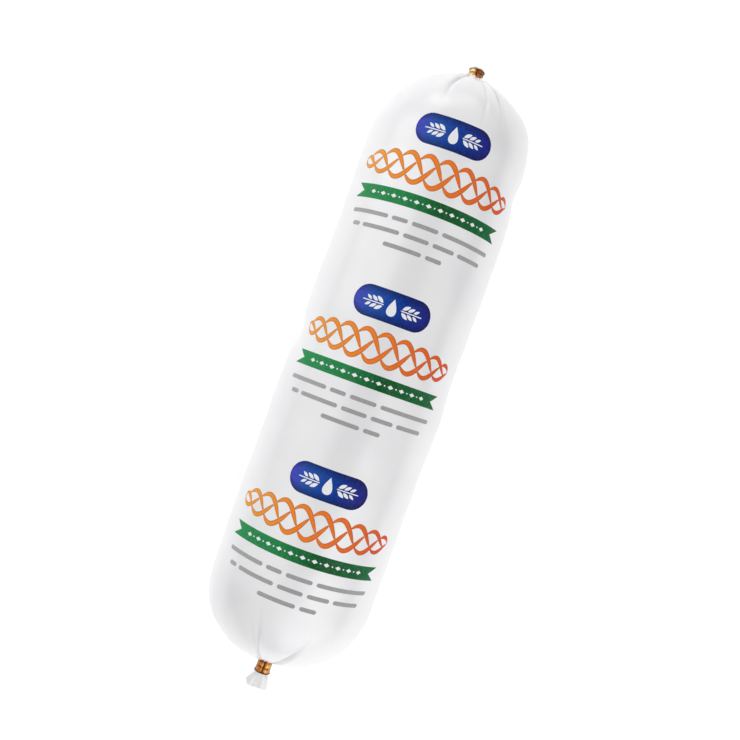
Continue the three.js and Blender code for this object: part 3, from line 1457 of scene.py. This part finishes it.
def leaf(length: float, half_width: float) -> Mark:
    """Make a leaf with two pointed ends.

    Args:
        length: Its length.
        half_width: Half its width, in the middle.

    Returns:
        The mark, centred and lying across the print.
    """
    tip, steps, fullness = 0.02, 15, 0.9
    t = np.linspace(tip, 1.0 - tip, steps)
    widths = half_width * np.sin(pi * t) ** fullness
    return mark_from_widths(length * (t - 0.5), widths, lanes=4)


def drop(height: float, half_width: float) -> Mark:
    """Make a drop.

    Args:
        height: Its height.
        half_width: Half its width, where it is widest.

    Returns:
        The mark, centred and pointing to the left, so that a quarter turn back stands it up.
    """
    point, foot, steps, slimness = 0.12, 0.08, 21, 1.5
    turn = np.linspace(point, pi - foot, steps)
    full = np.sin(turn) * np.sin(turn / 2.0) ** slimness
    stations = -height * np.cos(turn) / 2.0
    return mark_from_widths(stations, half_width * full / full.max(), lanes=6)


def diamond(half_length: float, half_height: float) -> Mark:
    """Make a diamond.

    Args:
        half_length: Half its length.
        half_height: Half its height.

    Returns:
        The mark, centred.
    """
    tip, steps = 0.97, 9
    t = np.linspace(-tip, tip, steps)
    return mark_from_widths(half_length * t, half_height * (1.0 - np.abs(t)), lanes=2)


def stroke(centres: Array, half_widths: Array, lanes: int = 4) -> Mark:
    """Make a brush stroke along a line.

    Args:
        centres: Points of the line.
        half_widths: Half the stroke's width at each.
        lanes: How many strips it is cut into.

    Returns:
        The mark.
    """
    run = np.gradient(centres, axis=0)
    run = run / np.linalg.norm(run, axis=1, keepdims=True)
    side = np.stack([run[:, 1], -run[:, 0]], axis=-1) * half_widths[:, None]
    return Mark(centres + side, centres - side, lanes)


@dataclass(frozen=True)
class BlueField:
    """The blue field at the head of the print, with a plain white device on it."""

    along: float = 38.2
    half_length: float = 21.0
    half_height: float = 8.2
    drop_height: float = 9.2
    drop_half_width: float = 2.5
    stem_start: float = 4.6
    stem_length: float = 11.4
    stem_half_height: float = 0.26
    leaf_length: float = 4.7
    leaf_half_width: float = 0.95
    first_leaf: float = 5.1
    leaf_step: float = 3.1
    leaf_rise: float = 0.75
    leaf_shrink: float = 0.13
    leaves: int = 3
    leaf_turn: float = 34.0
    cell: float = 1.0

    def marks(self) -> dict[Ink, list[Mark]]:
        """Lay out the field: a drop between two sprigs of leaves.

        Returns:
            The marks of each ink.
        """
        device = [drop(self.drop_height, self.drop_half_width).moved(0.0, self.along, -90.0)]
        for side in (-1, 1):
            device.extend(self.sprig(side))
        plain = pill(self.half_length, self.half_height, self.cell).moved(0.0, self.along)
        return {Ink.BLUE: [plain], Ink.WHITE: device}

    def sprig(self, side: int) -> list[Mark]:
        """Lay out one sprig: a stem with pairs of leaves that get smaller towards its tip.

        Args:
            side: -1 for the sprig on the left, 1 for the one on the right.

        Returns:
            The stem and the leaves.
        """
        stem = pill(self.stem_length / 2.0, self.stem_half_height, self.cell)
        marks = [stem.moved(side * (self.stem_start + self.stem_length / 2.0), self.along)]
        for i in range(self.leaves):
            size = 1.0 - self.leaf_shrink * i
            reach = size * self.leaf_length / 2.0
            shape = leaf(self.leaf_length * size, self.leaf_half_width * size)
            root = self.first_leaf + self.leaf_step * i
            for flip in (-1, 1):
                across = side * (root + reach * cos(self.leaf_turn * DEGREE))
                rise = flip * (self.leaf_rise + reach * sin(self.leaf_turn * DEGREE))
                turn = side * flip * self.leaf_turn
                marks.append(shape.moved(across, self.along + rise, turn))
        return marks


@dataclass(frozen=True)
class Plait:
    """The amber band: three strands of pulled curd, plaited.

    The crossing, the gap and the shortest stretch are in degrees of a strand's own wave.
    """

    along: float = 16.6
    half_length: float = 46.5
    turns: int = 3
    strands: int = 3
    swing: float = 7.9
    half_width: float = 1.4
    crossing: float = 30.0
    gap: float = 10.0
    shortest: float = 30.0
    fullness: float = 0.35
    end_width: float = 0.5
    tip: float = 0.04
    taper: float = 0.55
    steps: int = 25

    def marks(self) -> dict[Ink, list[Mark]]:
        """Lay out every visible stretch of every strand.

        A strand goes under its neighbour twice in a turn, so each stretch between two such
        places is one stroke.

        Returns:
            The marks of the orange ink.
        """
        strokes = []
        for strand in range(self.strands):
            lag = 360.0 * strand / self.strands
            for half_turn in range(-1, 2 * self.turns + 2):
                first = self.crossing + 180.0 * half_turn + self.gap
                last = first + 180.0 - 2.0 * self.gap
                start, stop = max(first, lag), min(last, 360.0 * self.turns + lag)
                if stop - start > self.shortest:
                    strokes.append(self.strand_stroke(start, stop, lag))
        return {Ink.ORANGE: strokes}

    def strand_stroke(self, start: float, stop: float, lag: float) -> Mark:
        """Make one stretch of a strand.

        Args:
            start: Where it starts, in degrees of its own wave.
            stop: Where it stops.
            lag: How far the strand lags behind the first.

        Returns:
            The stroke, thick in its middle and tapered at both ends.
        """
        turn = np.linspace(start, stop, self.steps)
        share = (turn - lag) / (360.0 * self.turns)
        across = self.half_length * (2.0 * share - 1.0)
        full = np.sin(pi * np.clip(share, 0.0, 1.0)) ** self.fullness
        along = self.along + self.swing * full * np.sin(turn * DEGREE)
        run = np.linspace(self.tip, 1.0 - self.tip, self.steps)
        taper = np.sin(pi * run) ** self.taper * lerp(self.end_width, 1.0, full)
        return stroke(np.stack([across, along], axis=-1), self.half_width * taper)


@dataclass(frozen=True)
class Ribbon:
    """The green ribbon with forked ends and a row of white diamonds and dots."""

    half_length: float = 45.0
    half_height: float = 3.75
    notch: float = 5.6
    rows: int = 13
    lanes: int = 72
    diamonds: int = 11
    diamond_size: tuple[float, float] = (1.6, 1.1)
    dot_size: tuple[float, float] = (0.42, 0.41)
    dot_cell: float = 0.4
    pitch: float = 6.4

    def marks(self) -> dict[Ink, list[Mark]]:
        """Lay out the ribbon.

        Returns:
            The marks of each ink.
        """
        height = np.linspace(-self.half_height, self.half_height, self.rows)
        ends = self.half_length - self.notch * (1.0 - np.abs(height) / self.half_height)
        sides = (np.stack([end, height], axis=-1) for end in (ends, -ends))
        places = (np.arange(self.diamonds) - (self.diamonds - 1) / 2.0) * self.pitch
        between = places[:-1] + self.pitch / 2.0
        row = [diamond(*self.diamond_size).moved(place, 0.0) for place in places]
        dots = [pill(*self.dot_size, self.dot_cell).moved(place, 0.0) for place in between]
        return {Ink.GREEN: [Mark(*sides, self.lanes)], Ink.WHITE: [*row, *dots]}


@dataclass(frozen=True)
class GreyRow:
    """A row of grey bars; the shares say how its width is split among them."""

    along: float
    half_length: float
    shares: tuple[float, ...]


@dataclass(frozen=True)
class GreyBars:
    """Rows of small grey bars below the ribbon."""

    rows: tuple[GreyRow, ...] = (
        GreyRow(-10.8, 43.0, (7.0, 2.5, 4.0, 9.0)),
        GreyRow(-17.7, 39.4, (1.6, 6.5, 4.0, 3.6, 4.8)),
        GreyRow(-24.7, 16.0, (5.5, 2.4)),
    )
    half_height: float = 1.08
    gap: float = 2.3
    cell: float = 1.2

    def marks(self) -> dict[Ink, list[Mark]]:
        """Lay out the bars.

        Returns:
            The marks of the grey ink.
        """
        bars = []
        for row in self.rows:
            room = 2.0 * row.half_length - self.gap * (len(row.shares) - 1)
            start = -row.half_length
            for share in row.shares:
                length = room * share / sum(row.shares)
                middle = start + length / 2.0
                bar = pill(length / 2.0, self.half_height, self.cell)
                bars.append(bar.moved(middle, row.along))
                start += length + self.gap
        return {Ink.GREY: bars}


@dataclass(frozen=True)
class PrintColumn:
    """A column of repeats of the print, laid on the film as thin coats of ink."""

    name: str
    azimuth: float
    surface: BodySurface
    place: LogPlace
    repeats: tuple[float, ...] = (87.4, -4.9, -100.0)
    print_radius: float = 45.0
    print_width: float = 94.0
    coat: float = 0.05
    white_coat: float = 0.08
    rooted: float = 0.04
    rim_sharpness: int = 6

    def add_mark(self, parts: MeshParts, mark: Mark, repeat: float, coat: float) -> None:
        """Lay one mark on the film as a closed coat of ink.

        Args:
            parts: The mesh to add it to.
            mark: The mark.
            repeat: Where the print's repeat lies along the log.
            coat: How far the ink stands off the film.
        """
        t = np.linspace(0.0, 1.0, mark.lanes + 1)[None, :, None]
        flat = lerp(mark.left[:, None, :], mark.right[:, None, :], t)
        run, side = flat[1, 0] - flat[0, 0], flat[0, -1] - flat[0, 0]
        if run[0] * side[1] - run[1] * side[0] < 0.0:
            flat = flat[::-1]
        phi = self.azimuth + flat[..., 0] / self.print_radius / DEGREE
        along = repeat + flat[..., 1]
        uv = 0.5 + flat / self.print_width
        from_end = np.abs(np.linspace(-1.0, 1.0, flat.shape[0]))[:, None]
        rim = np.maximum(from_end**self.rim_sharpness, np.abs(2.0 * t[..., 0] - 1.0))
        top = parts.add_points(self.surface.points(along, phi, coat), uv, rim=rim)
        root = parts.add_points(self.surface.points(along, phi, -self.rooted), uv, rim=rim)
        parts.add_sheet(top)
        parts.add_sheet(root[::-1])
        over, under = (
            np.concatenate([grid[:, 0], grid[-1, 1:], grid[-2::-1, -1], grid[0, -2::-1]])
            for grid in (top, root)
        )
        parts.add_quads(under[:-1], under[1:], over[1:], over[:-1])

    def build(self, ink: Ink, marks: Sequence[Mark]) -> bpy.types.Object:
        """Make every repeat of one ink as one piece.

        Args:
            ink: The ink.
            marks: The ink's marks in one repeat.

        Returns:
            The piece, without its finish.
        """
        parts = MeshParts()
        coat = self.white_coat if ink is Ink.WHITE else self.coat
        for repeat in self.repeats:
            for mark in marks:
                self.add_mark(parts, mark, repeat, coat)
        return parts.build(f"{ink.value}_{self.name}", self.place)


# ---- The studio ----


@dataclass(frozen=True)
class Softbox:
    """A soft light that faces the log.

    The compass turns against the clock from the log's right, shift moves the light along the
    log, and brightness is the glow of the cloth, as the camera would see it.
    """

    name: str
    compass: float
    height: float
    shift: float
    width: float
    depth: float
    brightness: float


@dataclass(frozen=True)
class Studio:
    """The floor, the lights and the camera over the log."""

    place: LogPlace
    lean: float = 19.75
    camera_height: float = 500.0
    camera_along: float = 0.1
    lens: float = 44.08
    sensor: float = 36.0
    clip_near: float = 10.0
    clip_far: float = 20000.0
    floor_gap: float = 0.15
    floor_size: float = 3000.0
    distance: float = 1100.0
    ambient: float = 0.1
    softboxes: tuple[Softbox, ...] = (
        Softbox("left_upper", 180, 40, 320, 600, 1540, 1.22),
        Softbox("left_lower", 180, 40, -260, 480, 1540, 0.93),
        Softbox("right_upper", 0, 40, 320, 600, 900, 0.71),
        Softbox("right_lower", 0, 36, -320, 600, 1100, 0.7),
        Softbox("head", 90, 38, 0, 2000, 1500, 0.37),
        Softbox("head_left", 135, 18, 0, 1100, 600, 0.95),
        Softbox("head_low", 100, 14, 0, 900, 460, 0.9),
        Softbox("head_right", 70, 30, 0, 900, 1000, 0.3),
        Softbox("foot", -90, 38, 0, 2000, 1500, 0.42),
        Softbox("foot_high", -55, 34, 0, 1200, 1300, 0.99),
        Softbox("foot_low", -45, 18, 0, 1000, 550, 0.29),
    )

    def floor(self) -> None:
        """Lay the floor just under the log."""
        half = self.floor_size / 2.0 * MM
        mesh = bpy.data.meshes.new("floor")
        corners = [(-half, -half), (half, -half), (half, half), (-half, half)]
        level = -self.floor_gap * MM
        mesh.from_pydata([(x, y, level) for x, y in corners], [], [(0, 1, 2, 3)])
        floor = bpy.data.objects.new("floor", mesh)
        bpy.context.scene.collection.objects.link(floor)
        mesh.materials.append(FloorFinish().material())

    def aim(self) -> Vector:
        """Give the middle of the log, which the lights point at, in metres."""
        return Vector((self.place.axis_x, self.place.middle_y, self.place.axis_z)) * MM

    def add_softbox(self, box: Softbox) -> None:
        """Put up one soft light.

        Args:
            box: The light.
        """
        data = bpy.data.lights.new(box.name, "AREA")
        data.shape = "RECTANGLE"
        data.size = box.width * MM
        data.size_y = box.depth * MM
        data.energy = box.brightness * pi * data.size * data.size_y
        light = bpy.data.objects.new(box.name, data)
        turn = box.compass * DEGREE
        flat, up = cos(box.height * DEGREE), sin(box.height * DEGREE)
        direction = Vector((cos(turn) * flat, sin(turn) * flat, up))
        light.location = self.aim() + (direction * self.distance + Vector((0, box.shift, 0))) * MM
        light.rotation_euler = direction.to_track_quat("Z", "Y").to_euler()
        bpy.context.scene.collection.objects.link(light)

    def light(self) -> None:
        """Light the log with the softboxes, in a room that gives a little light back."""
        world = bpy.data.worlds.new("studio")
        world.use_nodes = True
        background = world.node_tree.nodes["Background"]
        background.inputs["Color"].default_value = (1.0, 1.0, 1.0, 1.0)
        background.inputs["Strength"].default_value = self.ambient
        bpy.context.scene.world = world
        for box in self.softboxes:
            self.add_softbox(box)

    def camera(self) -> None:
        """Hang the camera over the log, turned so that the log leans to the right."""
        data = bpy.data.cameras.new("camera")
        data.lens = self.lens
        data.sensor_width = self.sensor
        data.clip_start = self.clip_near * MM
        data.clip_end = self.clip_far * MM
        camera = bpy.data.objects.new("camera", data)
        over = Vector((0.0, self.camera_along, self.camera_height)) * MM
        camera.location = self.aim() + over
        camera.rotation_euler.z = self.lean * DEGREE
        bpy.context.scene.collection.objects.link(camera)
        bpy.context.scene.camera = camera

    def build(self) -> None:
        """Set up the whole studio."""
        self.floor()
        self.light()
        self.camera()
        bpy.context.scene.view_settings.view_transform = "Standard"


# ---- Everything in order ----

INK_FINISHES = (
    InkFinish(
        Ink.BLUE,
        (
            (0.27, srgb(72, 70, 190)),
            (0.38, srgb(30, 82, 172)),
            (0.55, srgb(2, 54, 146)),
            (0.73, srgb(26, 20, 122)),
        ),
        rim=srgb(8, 2, 48),
        rim_share=0.7,
        mottle=0.02,
    ),
    InkFinish(
        Ink.ORANGE,
        ((0.05, srgb(246, 164, 54)), (0.45, srgb(240, 128, 34)), (0.95, srgb(224, 78, 22))),
        rim=srgb(168, 74, 22),
        rim_share=0.6,
    ),
    InkFinish(
        Ink.GREEN,
        (
            (0.05, srgb(36, 146, 82)),
            (0.35, srgb(22, 132, 68)),
            (0.58, srgb(0, 84, 34)),
            (0.95, srgb(8, 104, 54)),
        ),
    ),
    InkFinish(
        Ink.GREY,
        ((0.0, srgb(176, 176, 177)), (0.5, srgb(158, 158, 159)), (1.0, srgb(166, 166, 167))),
        mottle=0.12,
    ),
    InkFinish(Ink.WHITE, ((0.0, PRINTED_WHITE), (1.0, PRINTED_WHITE))),
)


def merge_marks(groups: Iterable[dict[Ink, list[Mark]]]) -> dict[Ink, list[Mark]]:
    """Put the marks of the same ink together.

    Args:
        groups: Marks by ink, one group for each part of the print.

    Returns:
        All marks of each ink.
    """
    merged: dict[Ink, list[Mark]] = {}
    for group in groups:
        for ink, marks in group.items():
            merged.setdefault(ink, []).extend(marks)
    return merged


def make_print(surface: BodySurface, place: LogPlace) -> None:
    """Print the front of the casing, and its back in the same way.

    Args:
        surface: The film that the print lies on.
        place: Where the log lies.
    """
    marks = merge_marks(part.marks() for part in (BlueField(), Plait(), Ribbon(), GreyBars()))
    finishes = {finish.ink: finish.material() for finish in INK_FINISHES}
    for name, azimuth in (("front", 0.0), ("back", 180.0)):
        column = PrintColumn(name, azimuth, surface, place)
        for ink in Ink:
            piece = column.build(ink, marks[ink])
            hand_over(piece, ink.value, finishes[ink])


def make_tails(surface: BodySurface, place: LogPlace) -> tuple[Tail, Tail]:
    """Describe the film past both clips.

    Args:
        surface: The body's surface, which says where the clips lie.
        place: Where the log lies.

    Returns:
        The fan past the lower clip and the stub past the upper one.
    """
    fan = Tail(
        name="tail_lower",
        end=End.LOWER,
        surface=surface,
        place=place,
        length=8.6,
        half_width=6.7,
        half_depth=2.6,
        sideways=-0.6,
        corner_cut=2.8,
        leaves=(
            Leaf(1.0, 4, 0.42, 0.5, 0.0, valley_in_front=True),
            Leaf(0.8, 5, 0.36, 1.3, 0.4),
            Leaf(0.6, 5, 0.34, 2.6, 0.2),
            Leaf(0.41, 4, 0.3, 3.1, 0.5),
            Leaf(0.22, 3, 0.2, 0.8, 0.3),
        ),
    )
    stub = Tail(
        name="tail_upper",
        end=End.UPPER,
        surface=surface,
        place=place,
        length=1.0,
        half_width=3.3,
        half_depth=3.3,
        sideways=0.0,
        corner_cut=0.1,
        leaves=(
            Leaf(1.0, 11, 0.16, 0.9, 0.0),
            Leaf(0.7, 9, 0.2, 2.4, 0.1),
            Leaf(0.38, 6, 0.2, 0.2, 0.2),
        ),
    )
    return fan, stub


def make_clips(surface: BodySurface, place: LogPlace) -> tuple[CrimpedClip, CrimpedClip]:
    """Describe both clips, which the press folded in different ways and which are painted lit and
    shaded from different sides.

    Args:
        surface: The body's surface, which says where the clips lie.
        place: Where the log lies.

    Returns:
        The upper clip, painted pale at the left and shaded brown at the right, and the lower one,
        shaded brown at the left.
    """
    upper = CrimpedClip(
        name="crimped_clip_upper",
        node="clip_top",
        end=End.UPPER,
        surface=surface,
        place=place,
        tones=(-0.15, 1.25),
        fold_at=0.73,
    )
    lower = CrimpedClip(
        name="crimped_clip_lower",
        node="clip_bottom",
        end=End.LOWER,
        surface=surface,
        place=place,
        tones=(0.76, 0.4),
        fold_at=0.6,
    )
    return upper, lower


def main() -> None:
    """Build the log's pieces in order, then the studio."""
    logging.basicConfig(level=logging.INFO, format="%(name)s: %(message)s")
    surface = BodySurface()
    place = LogPlace.from_frame(surface)
    film = FilmFinish().material()
    metal = ClipFinish().material()
    hand_over(Casing(surface, place).build(), "film", film)
    for tail in make_tails(surface, place):
        hand_over(tail.build(), "film", film)
    for clip in make_clips(surface, place):
        hand_over(clip.build(), "clip_metal", metal)
    make_print(surface, place)
    Studio(place).build()


if __name__ == "__main__":
    main()
